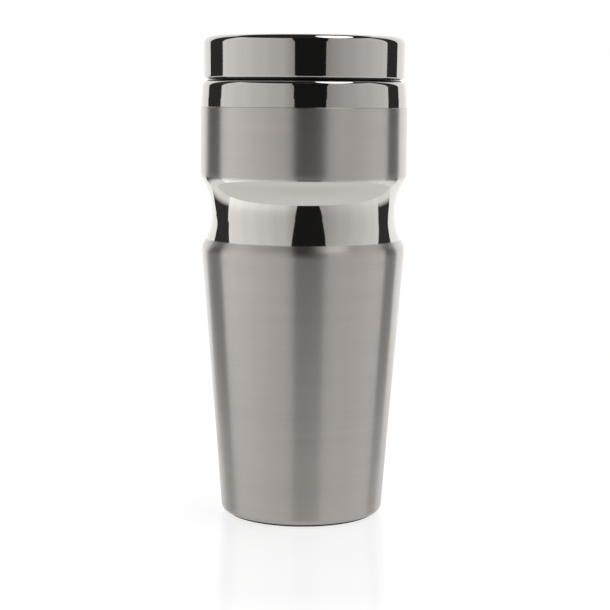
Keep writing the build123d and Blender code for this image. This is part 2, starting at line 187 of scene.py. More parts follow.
def grid_faces(rows, columns, wrap_rows, wrap_columns):
    """Corner numbers of a grid's quads, row by row, joined round where it wraps."""
    i, j = np.meshgrid(
        np.arange(rows if wrap_rows else rows - 1),
        np.arange(columns if wrap_columns else columns - 1),
        indexing="ij",
    )
    i, j = i.ravel(), j.ravel()
    below, beside = (i + 1) % rows, (j + 1) % columns
    return np.stack(
        [i * columns + j, i * columns + beside, below * columns + beside, below * columns + j], 1
    )


def mesh_of(name, patches, sharp=40):
    """Mesh joined from (points, wrap_rows, wrap_columns) grids, welded where they meet.

    The map named along runs along the rows in its first coordinate and across in its second.
    """
    weld, speck = 0.001 * mm, 1e-7 * mm * mm
    vertices, faces, uv = [], [], []
    first = 0
    for points, wrap_rows, wrap_columns in patches:
        rows, columns = points.shape[:2]
        quads = grid_faces(rows, columns, wrap_rows, wrap_columns)
        vertices.append(points.reshape(-1, 3))
        faces.append(quads + first)
        first += rows * columns
        i, j = quads[:, 0] // columns, quads[:, 0] % columns
        run = np.stack([i, i, i + 1, i + 1], 1) / rows
        across = np.stack([j, j + 1, j + 1, j], 1) / columns
        uv.append(np.stack([run, across], 2))
    mesh = bpy.data.meshes.new(name)
    mesh.from_pydata(np.concatenate(vertices), [], np.concatenate(faces).tolist())
    layer = mesh.uv_layers.new(name="along")
    layer.data.foreach_set("uv", np.concatenate(uv).astype(np.float32).ravel())
    work = bmesh.new()
    work.from_mesh(mesh)
    bmesh.ops.remove_doubles(work, verts=work.verts, dist=weld)
    flat = [face for face in work.faces if face.calc_area() < speck]
    bmesh.ops.delete(work, geom=flat, context="FACES_ONLY")
    bmesh.ops.recalc_face_normals(work, faces=work.faces)
    work.to_mesh(mesh)
    work.free()
    mesh.polygons.foreach_set("use_smooth", np.ones(len(mesh.polygons), bool))
    mesh.set_sharp_from_angle(angle=np.radians(sharp))
    return mesh


def turned_patch(outline, segments=240, closed=True):
    """Grid of the outline carried once round Z: x = r cos a, y = r sin a, z = height."""
    angle = np.arange(segments) * turn / segments
    radius, height = outline[:, :1], outline[:, 1:]
    points = np.stack([radius * np.cos(angle), radius * np.sin(angle), height + 0 * angle], 2)
    return points, closed, True


def swept_patch(centre, outward, upward, section, share):
    """Closed bar: section points (across, up) carried along centre points.

    Point = centre + share (across outward + up upward).  The share brings both ends to a point.
    """
    across, up = section[:, 0][None, :, None], section[:, 1][None, :, None]
    width = share[:, None, None]
    points = centre[:, None, :] + width * (across * outward[:, None, :] + up * upward[:, None, :])
    return points, False, True


def radial_bar(inner, outer, width, bottom, top, angle, rounding=0.3 * mm):
    """Straight bar that runs outward at an angle, with rounded long edges and closed ends."""
    middle = (bottom + top) / 2
    half_width, half_height = width / 2, (top - bottom) / 2
    section = rounded([
        (-half_width, -half_height, rounding),
        (half_width, -half_height, rounding), (half_width, half_height, rounding),
        (-half_width, half_height, rounding),
    ], 15)
    places = 8
    distance = np.concatenate([[inner], np.linspace(inner, outer, places), [outer]])
    share = np.concatenate([[0], np.ones(places), [0]])
    ahead = np.array([np.cos(angle), np.sin(angle), 0])
    aside = np.array([-np.sin(angle), np.cos(angle), 0])
    up = np.array([0, 0, 1])
    centre = distance[:, None] * ahead + middle * up
    ones = np.ones((len(distance), 1))
    return swept_patch(centre, ones * aside, ones * up, section, share)


def winding(radius, angle, height):
    """Centre points x = r cos a, y = r sin a, z = height, with their outward and upward."""
    outward = np.stack([np.cos(angle), np.sin(angle), 0 * angle], 1)
    upward = np.tile([0.0, 0.0, 1.0], (len(angle), 1))
    return radius * outward + height[:, None] * upward, outward, upward


def screw_ridge(radius, rise, bottom, top, lead, start):
    """One ridge of a right-handed screw: a = start + turn (z - bottom) / lead.

    Its section is a trapezium that stands out by rise, inward where rise is negative, and it
    grows from nothing and dies away over the first and last tenth of its length.
    """
    base, crest, edge, taper = 1.7 * mm, 0.9 * mm, 0.2 * mm, 0.1
    sunk = -0.15 * mm * np.sign(rise)
    share = np.linspace(0, 1, 180)
    height = bottom + (top - bottom) * share
    angle = start + turn * (height - bottom) / lead
    section = rounded([
        (sunk, -base / 2),
        (rise, -crest / 2, edge), (rise, crest / 2, edge),
        (sunk, base / 2),
    ], 20, 0.5 * mm)
    size = smooth(np.minimum(share, 1 - share) / taper)
    return swept_patch(*winding(radius, angle, height), section, size)


def screw(name, radius, rise, sizes, first_angle):
    """Mesh of the screw's three ridges, which each go once round."""
    starts = 3
    bottom, lead = sizes.thread_bottom_z, sizes.thread_lead
    ridges = [
        screw_ridge(radius, rise, bottom, bottom + lead, lead, first_angle + i * turn / starts)
        for i in range(starts)
    ]
    return mesh_of(name, ridges, sharp=60)


def coil_mesh(name, radius, wire, bottom, top, turns):
    """Wire spring with closed ends.

    The height grows with the angle, slowly over the end turns and twice as fast between them.
    """
    steps_a_turn, sides = 60, 16
    angle = np.linspace(0, turns * turn, int(steps_a_turn * turns))
    from_end = np.minimum(angle, angle[-1] - angle) / turn
    slope = stepped(from_end, 0.8, 0.5, 1, 2)
    climbed = np.concatenate([[0], np.cumsum((slope[1:] + slope[:-1]) / 2)])
    height = bottom + wire / 2 + (top - bottom - wire) * climbed / climbed[-1]
    centre, outward, upward = winding(radius, angle, height)
    around = np.arange(sides) * turn / sides
    section = wire / 2 * np.stack([np.cos(around), np.sin(around)], 1)
    share = np.ones(len(angle))
    share[[0, -1]] = 0
    centre[[0, -1]] = centre[[1, -2]]
    return mesh_of(name, [swept_patch(centre, outward, upward, section, share)])


def placed(name, data, *materials):
    """New object of the scene, at the origin."""
    made = bpy.data.objects.new(name, data)
    bpy.context.scene.collection.objects.link(made)
    for material in materials:
        data.materials.append(material)
    return made


def piece(name, mesh, body, slot, material, *stands_for):
    """Scene object for a finished mesh that moves with a body and stands for frame nodes."""
    made = placed(name, mesh, material)
    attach(made, body)
    if stands_for:
        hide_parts(*stands_for)
    return made


def turned(name, body, slot, material, node, corners, segments=240):
    """Piece of one closed outline, given by its corners, carried once round Z."""
    mesh = mesh_of(name, [turned_patch(rounded(corners), segments)])
    return piece(name, mesh, body, slot, material, node)


def dress(node, material):
    """Better material in the slots of a frame node that keeps its shape."""
    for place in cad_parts[node].material_slots:
        place.material = material


# Finishes

class Finish:
    """Small helper that builds one material's node tree."""

    def __init__(self, name):
        self.material = bpy.data.materials.new(name)
        self.material.use_nodes = True
        self.nodes = self.material.node_tree.nodes
        self.nodes.clear()

    def add(self, kind, values=None, **settings):
        """New node, with its own settings and the values of its inputs."""
        node = self.nodes.new(kind)
        for key, value in settings.items():
            setattr(node, key, value)
        for key, value in (values or {}).items():
            node.inputs[key].default_value = value
        return node

    def link(self, source, target):
        self.material.node_tree.links.new(source, target)

    def metal(self, colour, roughness):
        values = {"Base Color": (*colour, 1), "Metallic": 1, "Roughness": roughness}
        return self.add("ShaderNodeBsdfPrincipled", values)

    def plain(self, roughness, ior):
        return self.add("ShaderNodeBsdfPrincipled", {"Roughness": roughness, "IOR": ior})

    def place(self):
        """Where a point lies, in object coordinates."""
        return self.add("ShaderNodeTexCoord").outputs["Object"]

    def distance(self, place):
        """How far a place is from the middle."""
        node = self.add("ShaderNodeVectorMath", operation="LENGTH")
        self.link(place, node.inputs[0])
        return node.outputs["Value"]

    def grain(self, scale, stretch=(1, 1, 1), detail=2):
        """Noise on object coordinates, stretched by one factor for each axis."""
        mapping = self.add("ShaderNodeMapping", {"Scale": stretch})
        noise = self.add("ShaderNodeTexNoise", {"Scale": scale, "Detail": detail})
        self.link(self.place(), mapping.inputs["Vector"])
        self.link(mapping.outputs["Vector"], noise.inputs["Vector"])
        return noise.outputs["Fac"]

    def rings(self, scale, detail=3):
        """Noise that changes only with the distance from the axis."""
        flat = self.add("ShaderNodeVectorMath", {1: (1, 1, 0)}, operation="MULTIPLY")
        values = {"Scale": scale, "Detail": detail}
        noise = self.add("ShaderNodeTexNoise", values, noise_dimensions="1D")
        self.link(self.place(), flat.inputs[0])
        self.link(self.distance(flat.outputs[0]), noise.inputs["W"])
        return noise.outputs["Fac"]

    def spread(self, source, low_value, high_value, start=0.3, end=0.7):
        """Map the values from start to end onto a range, level outside it.

        Noise lies mostly between 0.3 and 0.7.
        """
        values = {"From Min": start, "From Max": end, "To Min": low_value, "To Max": high_value}
        node = self.add("ShaderNodeMapRange", values)
        self.link(source, node.inputs["Value"])
        return node.outputs["Result"]

    def combine(self, operation, first, second):
        """One value worked out from two."""
        node = self.add("ShaderNodeMath", operation=operation)
        self.link(first, node.inputs[0])
        self.link(second, node.inputs[1])
        return node.outputs[0]

    def blend(self, share, first, second):
        """Shader that goes over from a first to a second one."""
        node = self.add("ShaderNodeMixShader")
        self.link(share, node.inputs[0])
        self.link(first.outputs[0], node.inputs[1])
        self.link(second.outputs[0], node.inputs[2])
        return node

    def bump(self, source, shader, distance, strength=1):
        node = self.add("ShaderNodeBump", {"Strength": strength, "Distance": distance})
        self.link(source, node.inputs["Height"])
        self.link(node.outputs["Normal"], shader.inputs["Normal"])

    def tint(self, source, shader, colour, darker, lighter):
        """Base colour that follows a noise between two shades of a colour."""
        shades = [(*(min(1, shade * part) for part in colour), 1) for shade in (darker, lighter)]
        node = self.add("ShaderNodeMix", dict(zip((6, 7), shades)), data_type="RGBA")
        self.link(self.spread(source, 0, 1), node.inputs[0])
        self.link(node.outputs[2], shader.inputs["Base Color"])

    def uneven(self, source, shader, smoother, rougher):
        """Roughness that follows a noise between two values."""
        self.link(self.spread(source, smoother, rougher), shader.inputs["Roughness"])

    def brushed_along(self, shader, direction):
        """The highlight blurs along the profile and stays narrow along the brush lines."""
        shader.inputs["Anisotropic"].default_value = direction
        tangent = self.add("ShaderNodeTangent", direction_type="UV_MAP", uv_map="along")
        self.link(tangent.outputs["Tangent"], shader.inputs["Tangent"])

    def done(self, shader):
        output = self.add("ShaderNodeOutputMaterial")
        self.link(shader.outputs[0], output.inputs["Surface"])
        return self.material


def made_once(maker):
    """Material whose node tree a maker function fills at its first call, shared after that.

    Text among the details only tells the kinds of one maker apart, and goes into the name.
    """
    made = {}

    def shared(*details):
        kinds = [part for part in details if isinstance(part, str)]
        rest = [part for part in details if not isinstance(part, str)]
        name = "_".join([maker.__name__, *kinds])
        if name not in made:
            finish = Finish(name)
            made[name] = finish.done(maker(finish, *rest))
        return made[name]

    return shared


def mirror_shader(steel, finishes, colour):
    """Mirror steel with the faint waviness that buffing leaves."""
    rough = finishes.polish_roughness
    shader = steel.metal(colour, rough)
    steel.uneven(steel.grain(400, (1, 1, 3)), shader, rough, 1.6 * rough)
    steel.bump(steel.grain(90, (1, 1, 1.6), 1), shader, 0.004 * mm)
    return shader


def brushed_shader(steel, finishes):
    """Steel with fine rings left by brushing round the axis."""
    rough = finishes.brush_roughness
    shader = steel.metal(finishes.brushed_colour, rough)
    steel.brushed_along(shader, finishes.brush_direction)
    lines = steel.grain(1000, (0.02, 0.02, 2.2), 3)
    bands = steel.grain(120, (0.15, 0.15, 3.0))
    steel.tint(lines, shader, finishes.brushed_colour, 0.978, 1.018)
    steel.uneven(bands, shader, 0.95 * rough, 1.05 * rough)
    steel.bump(lines, shader, 0.0008 * mm)
    return shader


@made_once
def mirror_steel(steel, finishes):
    """Mirror steel all over."""
    return mirror_shader(steel, finishes, finishes.steel_colour)


@made_once
def waisted_steel(steel, finishes, polish_low, polish_high):
    """Brushed steel with a mirror-polished belt between two heights. The belt's mirror steel is
    painted brighter than the other mirror steel: painted light that brightens the waist's
    reflections.
    """
    brushed = brushed_shader(steel, finishes)
    # The belt takes a brighter colour than the other mirror steel: painted light on the waist's
    # reflections, not a different steel.
    polished = mirror_shader(steel, finishes, finishes.belt_colour)
    split = steel.add("ShaderNodeSeparateXYZ")
    steel.link(steel.place(), split.inputs[0])
    height = split.outputs["Z"]
    fade = 0.25 * mm
    above = steel.spread(height, 0, 1, polish_low - fade, polish_low + fade)
    below = steel.spread(height, 1, 0, polish_high - fade, polish_high + 4 * fade)
    belt = steel.combine("MULTIPLY", above, below)
    return steel.blend(belt, brushed, polished)


@made_once
def spun_steel(steel, finishes):
    """Steel faced on a lathe: fine rings round the middle."""
    shader = steel.metal(finishes.brushed_colour, 0.3)
    steel.brushed_along(shader, 0.8)
    rings = steel.rings(6000)
    steel.tint(rings, shader, finishes.brushed_colour, 0.88, 1.08)
    steel.bump(rings, shader, 0.0015 * mm)
    return shader


@made_once
def satin_steel(steel, finishes):
    """Drawn steel of the drinking vessel, with soft draw lines up the wall."""
    shader = steel.metal(finishes.steel_colour, 0.32)
    steel.uneven(steel.grain(60), shader, 0.27, 0.37)
    steel.bump(steel.grain(900, (1.5, 1.5, 0.05)), shader, 0.003 * mm)
    return shader


@made_once
def dull_metal(metal, colour, roughness):
    """Cast or sintered metal with a grainy skin."""
    shader = metal.metal(colour, roughness)
    cloud = metal.grain(300)
    metal.tint(cloud, shader, colour, 0.8, 1.1)
    metal.uneven(cloud, shader, 0.85 * roughness, roughness)
    metal.bump(metal.grain(2500, detail=3), shader, 0.02 * mm, 0.6)
    return shader


@made_once
def drawn_wire(steel, finishes):
    """Hard steel of the spring and the stem, with drawing marks along it."""
    shader = steel.metal(finishes.steel_colour, 0.24)
    marks = steel.grain(1800, (1, 1, 0.4), 3)
    steel.tint(marks, shader, finishes.steel_colour, 0.9, 1.1)
    steel.uneven(marks, shader, 0.18, 0.3)
    steel.bump(marks, shader, 0.002 * mm)
    return shader


@made_once
def moulded_plastic(plastic, colour, roughness):
    """Moulded plastic or rubber with the fine spark-eroded texture of its tool."""
    shader = plastic.plain(roughness, 1.49)
    cloud = plastic.grain(90)
    plastic.tint(cloud, shader, colour, 0.88, 1.06)
    plastic.uneven(cloud, shader, 0.9 * roughness, 1.1 * roughness)
    plastic.bump(plastic.grain(1600, detail=3), shader, 0.02 * mm, 0.5)
    return shader


@made_once
def grey_silicone(rubber, finishes):
    """Soft silicone that lets a little light in at its edges."""
    shader = rubber.plain(0.46, 1.41)
    shader.inputs["Subsurface Weight"].default_value = 0.25
    shader.inputs["Subsurface Radius"].default_value = (1, 1, 1)
    shader.inputs["Subsurface Scale"].default_value = 0.6 * mm
    cloud = rubber.grain(150)
    rubber.tint(cloud, shader, finishes.silicone_colour, 0.92, 1.05)
    rubber.uneven(cloud, shader, 0.42, 0.52)
    rubber.bump(rubber.grain(2500), shader, 0.01 * mm, 0.4)
    return shader


def lid_plastic(finishes):
    return moulded_plastic("black_lid", finishes.plastic_colour, 0.34)


def click_plastic(finishes):
    return moulded_plastic("white_click_pieces", finishes.guide_colour, 0.4)


# Sizes and colours that a user would change

def length(name, description, default):
    """Length property in metres."""
    return bpy.props.FloatProperty(
        name=name, description=description, default=default, unit="LENGTH", precision=5
    )


def share(name, description, default):
    """Property from 0 to 1."""
    return bpy.props.FloatProperty(
        name=name, description=description, default=default, min=0, max=1
    )


def colour(name, description, default):
    """Colour property."""
    return bpy.props.FloatVectorProperty(
        name=name, description=description, default=default, subtype="COLOR", size=3, min=0, max=1
    )


def angle(name, description, default):
    """Angle property, given in degrees."""
    return bpy.props.FloatProperty(
        name=name, description=description, default=np.radians(default), subtype="ANGLE"
    )


class MugSizes(bpy.types.PropertyGroup):
    waist_radius: length("Waist radius", "Outside radius at the waist", 35.7 * mm)
    shoulder_radius: length("Shoulder radius", "Corner where body and waist meet", 39.45 * mm)
    foot_radius: length("Foot radius", "Corner of the foot before rounding", 31.45 * mm)
    foot_rounding: length("Foot rounding", "Rounding of the foot's edge", 2.4 * mm)
    foot_opening: length("Foot opening", "Radius of the opening under the foot", 25.95 * mm)
    shoulder_z: length("Shoulder height", "Height of the shoulder corner", 105.0 * mm)
    waist_bottom_z: length("Waist bottom", "Lower corner of the waist", 112.9 * mm)
    waist_top_z: length("Waist top", "Upper corner of the waist", 123.9 * mm)
    band_bottom_z: length("Band bottom", "Corner below the straight band", 132 * mm)
    shell_wall: length("Outer wall", "Thickness of the outer steel", 0.6 * mm)
    liner_wall: length("Inner wall", "Thickness of the drinking vessel", 0.5 * mm)
    throat_radius: length("Throat radius", "Inside radius below the ledge", 31.8 * mm)
    neck_radius: length("Neck radius", "Inside radius above the ledge", 35.5 * mm)
    vessel_foot_radius: length("Vessel foot radius", "Inside radius at the floor", 26.4 * mm)
    ledge_z: length("Ledge height", "Ledge that the lid seals on", 150.0 * mm)
    lid_step: length("Lid step", "How far the collar stands out from the lid", 0.75 * mm)
    rim_width: length("Rim width", "Width of the polished drinking rim", 4.4 * mm)
    sheet: length("Cap sheet", "Thickness of the cap and the collar", 0.8 * mm)
    thread_lead: length("Thread lead", "Rise of the lid for each turn", 12 * mm)
    thread_height: length("Thread height", "How far each screw ridge stands out", 1.0 * mm)
    thread_bottom_z: length("Thread bottom", "Where the screw ridges begin", 155.0 * mm)
    port_width: length("Port width", "Width of each drinking port", 3.6 * mm)
    port_bar: length("Port bar", "Bar left between two ports", 4.0 * mm)


class MugFinishes(bpy.types.PropertyGroup):
    steel_colour: colour("Polished steel", "Mirror-polished stainless steel", (0.55, 0.523, 0.495))
    # Mirror steel of the waist, painted brighter than steel_colour: painted light that brightens
    # the waist's reflections.
    belt_colour: colour("Polished belt", "Bare bright steel of the waist", (0.66, 0.628, 0.595))
    brushed_colour: colour("Brushed steel", "Ring-brushed stainless steel", (0.555, 0.517, 0.486))
    plastic_colour: colour("Black plastic", "Lid mouldings", (0.018, 0.018, 0.019))
    rubber_colour: colour("Black rubber", "Pad under the foot", (0.02, 0.02, 0.02))
    guide_colour: colour("White plastic", "Hidden click pieces", (0.7, 0.7, 0.68))
    silicone_colour: colour("Silicone", "Gaskets", (0.16, 0.165, 0.17))
    polish_roughness: share("Polish roughness", "Roughness of mirror steel", 0.04)
    brush_roughness: share("Brush roughness", "Roughness of brushed steel", 0.345)
    brush_direction: share(
        "Brush direction", "How much more brushed steel blurs along the axis than round it", 1.0
    )


class MugStudio(bpy.types.PropertyGroup):
    camera_distance: length("Camera distance", "From the mug's axis to the camera", 674 * mm)
    camera_shift: length("Camera shift", "Sideways from the mug's axis", 0.92 * mm)
    camera_height: length("Camera height", "Above the floor", 163 * mm)
    camera_pitch: angle("Camera pitch", "Downward tilt", 6.864)
    camera_roll: angle("Camera roll", "Turn about the view line", 0.43)
    panel_light: bpy.props.FloatProperty(
        name="Panels", description="Brightness of the light panels", default=1, min=0
    )
    floor_radius: length("Floor radius", "Round floor that the mug stands on", 280 * mm)


def settings(context):
    """The user's sizes and finishes."""
    return context.scene.mug_sizes, context.scene.mug_finishes


# Pieces, one operator for each or for a group of like ones

class MUG_OT_outer_wall(bpy.types.Operator):
    """Steel outer wall, brushed, with its polished waist"""
    bl_idname = "mug.outer_wall"
    bl_label = "Outer wall"

    def execute(self, context):
        sizes, finishes = settings(context)
        corners = [
            (sizes.foot_opening, foot_z),
            (sizes.foot_radius, foot_z, sizes.foot_rounding),
            (sizes.shoulder_radius, sizes.shoulder_z, 6 * mm),
            (sizes.waist_radius, sizes.waist_bottom_z, 20 * mm),
            (sizes.waist_radius, sizes.waist_top_z, 20 * mm),
            (band_radius, sizes.band_bottom_z, 11 * mm), (band_radius, band_top_z),
        ]
        edge = [(band_radius, band_top_z, 0.25 * mm), (band_radius - sizes.shell_wall, band_top_z)]
        outside = rounded(corners[:-1] + edge, closed=False)
        inside = far_side(rounded(corners, closed=False), sizes.shell_wall)
        mesh = mesh_of("outer_wall", [turned_patch(np.concatenate([outside, inside]))])
        steel = waisted_steel(finishes, sizes.shoulder_z + 3.2 * mm, sizes.waist_top_z + 8 * mm)
        piece("outer_wall", mesh, "mug", "brushed_steel", steel, "outer_shell")
        return {"FINISHED"}


class MUG_OT_vessel(bpy.types.Operator):
    """Drinking vessel: its wall with ledge and screwed neck, and its pressed floor"""
    bl_idname = "mug.vessel"
    bl_label = "Drinking vessel"

    def execute(self, context):
        sizes, finishes = settings(context)
        wall = sizes.liner_wall
        bottom = low("liner_floor")
        outside = rounded([
            (0, bottom),
            (sizes.vessel_foot_radius + wall, bottom, 7 * mm),
            (sizes.throat_radius + wall, sizes.shoulder_z, 20 * mm),
            (sizes.throat_radius + wall, sizes.ledge_z - wall, 0.8 * mm),
            (sizes.neck_radius + wall, sizes.ledge_z - wall, 1.3 * mm),
            (sizes.neck_radius + wall, high("inner_liner")),
        ], closed=False)
        floor_path, wall_path = parted(outside, low("inner_liner"))
        steel = satin_steel(finishes)
        for name, path, node in (
            ("vessel_wall", wall_path, "inner_liner"),
            ("vessel_floor", floor_path, "liner_floor"),
        ):
            mesh = mesh_of(name, [turned_patch(walled(path, wall))])
            piece(name, mesh, "mug", "liner_steel", steel, node)
        mesh = screw("neck_screw", sizes.neck_radius, -sizes.thread_height, sizes, turn / 6)
        piece("neck_screw", mesh, "mug", "liner_steel", steel)
        return {"FINISHED"}


class MUG_OT_collar(bpy.types.Operator):
    """Polished ring that joins the two walls at the mouth"""
    bl_idname = "mug.collar"
    bl_label = "Mouth collar"

    def execute(self, context):
        sizes, finishes = settings(context)
        bottom = low("mouth_collar")
        bore = sizes.neck_radius + sizes.liner_wall + fit
        spigot = band_radius - sizes.shell_wall - fit
        inside, draft, draft_z = spigot - 0.6 * mm, 0.45 * mm, band_top_z + 3.1 * mm
        lip, lip_z, under_z = bore + sizes.sheet, mouth_z - 3.2 * mm, mouth_z - sizes.sheet
        outer_bend, inner_bend = 2.6 * mm, 1.04 * mm
        turned("collar_ring", "mug", "polished_steel", mirror_steel(finishes), "mouth_collar", [
            (inside, bottom),
            (spigot, bottom, 0.1 * mm), (spigot, band_top_z),
            (collar_radius, band_top_z), (collar_radius, draft_z, outer_bend),
            (collar_radius - draft, mouth_z, outer_bend),
            (bore, mouth_z, 0.4 * mm), (bore, lip_z),
            (lip, lip_z), (lip, under_z),
            (inside - draft, under_z, inner_bend),
            (inside, draft_z, inner_bend),
        ])
        return {"FINISHED"}


class MUG_OT_foot(bpy.types.Operator):
    """Ribbed rubber pad, and the plate, seal and getter above it"""
    bl_idname = "mug.foot"
    bl_label = "Foot"

    def execute(self, context):
        _, finishes = settings(context)
        outside = reach("base_pad")
        recess, rib_z, edge = 0.3 * mm, 0.05 * mm, 0.15 * mm
        ring = outside - 7.4 * mm
        corners = [(0, recess)]
        for radius in np.arange(6 * mm, ring - 2 * mm, 4 * mm):
            corners += [
                (radius, recess, edge),
                (radius + 0.4 * mm, rib_z, edge),
                (radius + 1.0 * mm, rib_z, edge),
                (radius + 1.4 * mm, recess, edge),
            ]
        corners += [(ring, recess, 0.2 * mm), (ring, 0, edge)]
        depth, soft = 0.25 * mm, 0.1 * mm
        for groove in (outside - 5.2 * mm, outside - 3.2 * mm):
            corners += [
                (groove, 0, soft),
                (groove + 0.15 * mm, depth, soft),
                (groove + 0.75 * mm, depth, soft),
                (groove + 0.9 * mm, 0, soft),
            ]
        corners += [(outside, 0, 0.2 * mm), (outside, foot_z), (0, foot_z)]
        rubber = moulded_plastic("black_rubber", finishes.rubber_colour, 0.62)
        mesh = mesh_of("foot_pad", [turned_patch(rounded(corners, 15))])
        piece("foot_pad", mesh, "mug", "black_rubber", rubber, "base_pad")
        dress("base_plate", satin_steel(finishes))
        dress("vacuum_seal", dull_metal("solder", (0.45, 0.45, 0.46), 0.45))
        dress("getter", dull_metal("getter", (0.2, 0.2, 0.21), 0.75))
        return {"FINISHED"}


class MUG_OT_cap(bpy.types.Operator):
    """Polished cap of the lid, rolled over the drinking rim"""
    bl_idname = "mug.cap"
    bl_label = "Lid cap"

    def execute(self, context):
        sizes, finishes = settings(context)
        outside = collar_radius - sizes.lid_step
        foot = outside - 0.2 * mm
        lip = outside - sizes.rim_width
        lip_bottom, under_z = rim_z - 5.8 * mm, rim_z - sizes.sheet
        turned("lid_cap", "lid", "polished_steel", mirror_steel(finishes), "lid_shell", [
            (foot, lid_bottom_z, 0.7 * mm),
            (outside, rim_z, 2.8 * mm),
            (lip, rim_z, 1.3 * mm), (lip, lip_bottom, 0.15 * mm),
            (lip + sizes.sheet, lip_bottom, 0.15 * mm), (lip + sizes.sheet, under_z, 0.5 * mm),
            (outside - sizes.sheet, under_z, 2.0 * mm),
            (foot - sizes.sheet, lid_bottom_z),
        ])
        return {"FINISHED"}


def port_cell(middle, half_angle, inner, outer, top_height, bottom_z, sizes):
    """Closed grid round one drinking port, through the dish floor.

    In the cell, a point is (along the ring, outward) from the port's middle.  Its nearest point
    on the port's centre line is its own place held between the two ends.  Rows follow lines of
    growing distance from the port's edge, columns the rays from the centre line to the cell's
    border.  Over the edge, the surface drops by e (1 - cos t) at a distance of e (1 - sin t).
    """
    port_radius = chamber_radius - 5 * mm
    half_width = sizes.port_width / 2
    half_length = port_radius * half_angle - sizes.port_bar / 2 - half_width
    long, wide = 20, 8
    sweep = np.linspace(-half_angle, half_angle, long + 1)
    span = np.linspace(inner, outer, wide + 1)
    last, first = np.full(wide, half_angle), np.full(wide, -half_angle)
    around = np.concatenate([sweep[:-1], last, sweep[:0:-1], first])
    near, far = np.full(long, inner), np.full(long, outer)
    out = np.concatenate([near, span[:-1], far, span[:0:-1]])
    border = np.stack([around * port_radius, out - port_radius], 1)
    nearest = np.stack([np.clip(border[:, 0], -half_length, half_length), 0 * out], 1)
    ray = border - nearest
    distance = np.linalg.norm(ray, axis=1)
    ray /= distance[:, None]
    room = distance - half_width
    edge = 0.5 * mm
    level_rows, edge_rows = 4, 6
    fall = np.radians(np.linspace(0, 90, edge_rows))[:, None]
    closer = np.linspace(1, 0, level_rows + 1)[:-1, None] ** 2
    level = edge + (room - edge) * closer
    over = np.tile(edge * (1 - np.sin(fall)), len(room))
    away = np.concatenate([level, over])
    drop = np.concatenate([np.zeros((level_rows, 1)), edge * (1 - np.cos(fall))])
    place = nearest + ray * (half_width + away)[:, :, None]
    radius = port_radius + place[:, :, 1]
    side = middle + place[:, :, 0] / port_radius
    top = top_height(radius) - drop
    upper = np.stack([radius * np.cos(side), radius * np.sin(side), top], 2)
    lower = upper.copy()
    lower[:, :, 2] = bottom_z + drop
    return np.concatenate([upper, lower[::-1]]), False, True


class MUG_OT_dish(bpy.types.Operator):
    """Lid moulding: rim, stop ring, and the drinking dish with its ring of ports"""
    bl_idname = "mug.dish"
    bl_label = "Drinking dish"

    def execute(self, context):
        sizes, finishes = settings(context)
        count = 12
        lip = collar_radius - sizes.lid_step - sizes.rim_width
        under_cap = 0.1 * mm
        rim_bore = lip + sizes.sheet + under_cap
        rim_top = rim_z - sizes.sheet - under_cap
        step = rim_z - 5.9 * mm
        outside = collar_radius - sizes.lid_step - play - sizes.sheet
        inside = outside - moulded_wall
        stop_bottom = low("lid_body")
        stop, foot = inside + 1.0 * mm, lid_bottom_z + 0.7 * mm
        hub = hub_radius + fit
        rib_bottom = ceiling_z - 2.2 * mm
        rib = chamber_radius - fit
        rib_inside = rib - moulded_wall
        cell_inner, cell_outer, bend = 22.5 * mm, 30 * mm, 2.9 * mm
        floor_top = rounded([
            (cell_inner, dish_z),
            (lip - 5.3 * mm, dish_z, bend),
            (lip - 2.4 * mm, dish_z + 1.4 * mm, bend),
            (lip, step),
        ], closed=False)

        def top_height(radius):
            return np.interp(radius, floor_top[:, 0], floor_top[:, 1])

        middle_ring = rounded([
            (cell_inner, dish_z),
            (hub, dish_z, 0.2 * mm), (hub, ceiling_z),
            (cell_inner, ceiling_z),
        ], closed=False)
        rim_ring = rounded([
            (lip, step),
            (rim_bore, step), (rim_bore, rim_top, 0.4 * mm),
            (outside, rim_top, 1.9 * mm), (outside, foot),
            (stop, foot), (stop, stop_bottom, 0.2 * mm),
            (inside, stop_bottom, 0.2 * mm), (inside, dish_z, 0.72 * mm),
            (rib, dish_z), (rib, rib_bottom, 0.2 * mm),
            (rib_inside, rib_bottom, 0.3 * mm), (rib_inside, ceiling_z, 0.3 * mm),
            (cell_outer - 2 * mm, ceiling_z),
        ], closed=False)
        under_ports = (rim_ring[:, 0] < cell_outer) & (rim_ring[:, 1] <= ceiling_z + 0.1 * mm)
        rim_ring = rim_ring[~under_ports]
        slope = floor_top[floor_top[:, 0] > cell_outer]
        rim_ring = np.vstack([
            (cell_outer, top_height(cell_outer)), slope, rim_ring, (cell_outer, ceiling_z),
        ])
        patches = [turned_patch(middle_ring, closed=False), turned_patch(rim_ring, closed=False)]
        half = turn / count / 2
        patches += [
            port_cell(2 * i * half, half, cell_inner, cell_outer, top_height, ceiling_z, sizes)
            for i in range(count)
        ]
        stays, stay_width = 6, 1.6 * mm
        patches += [
            radial_bar(
                reach("hub_tube") + play, rib_inside + moulded_wall / 2, stay_width,
                rib_bottom, ceiling_z + 1.1 * mm, half + i * turn / stays,
            )
            for i in range(stays)
        ]
        mesh = mesh_of("drinking_dish", patches)
        piece("drinking_dish", mesh, "lid", "black_plastic", lid_plastic(finishes), "lid_body")
        return {"FINISHED"}


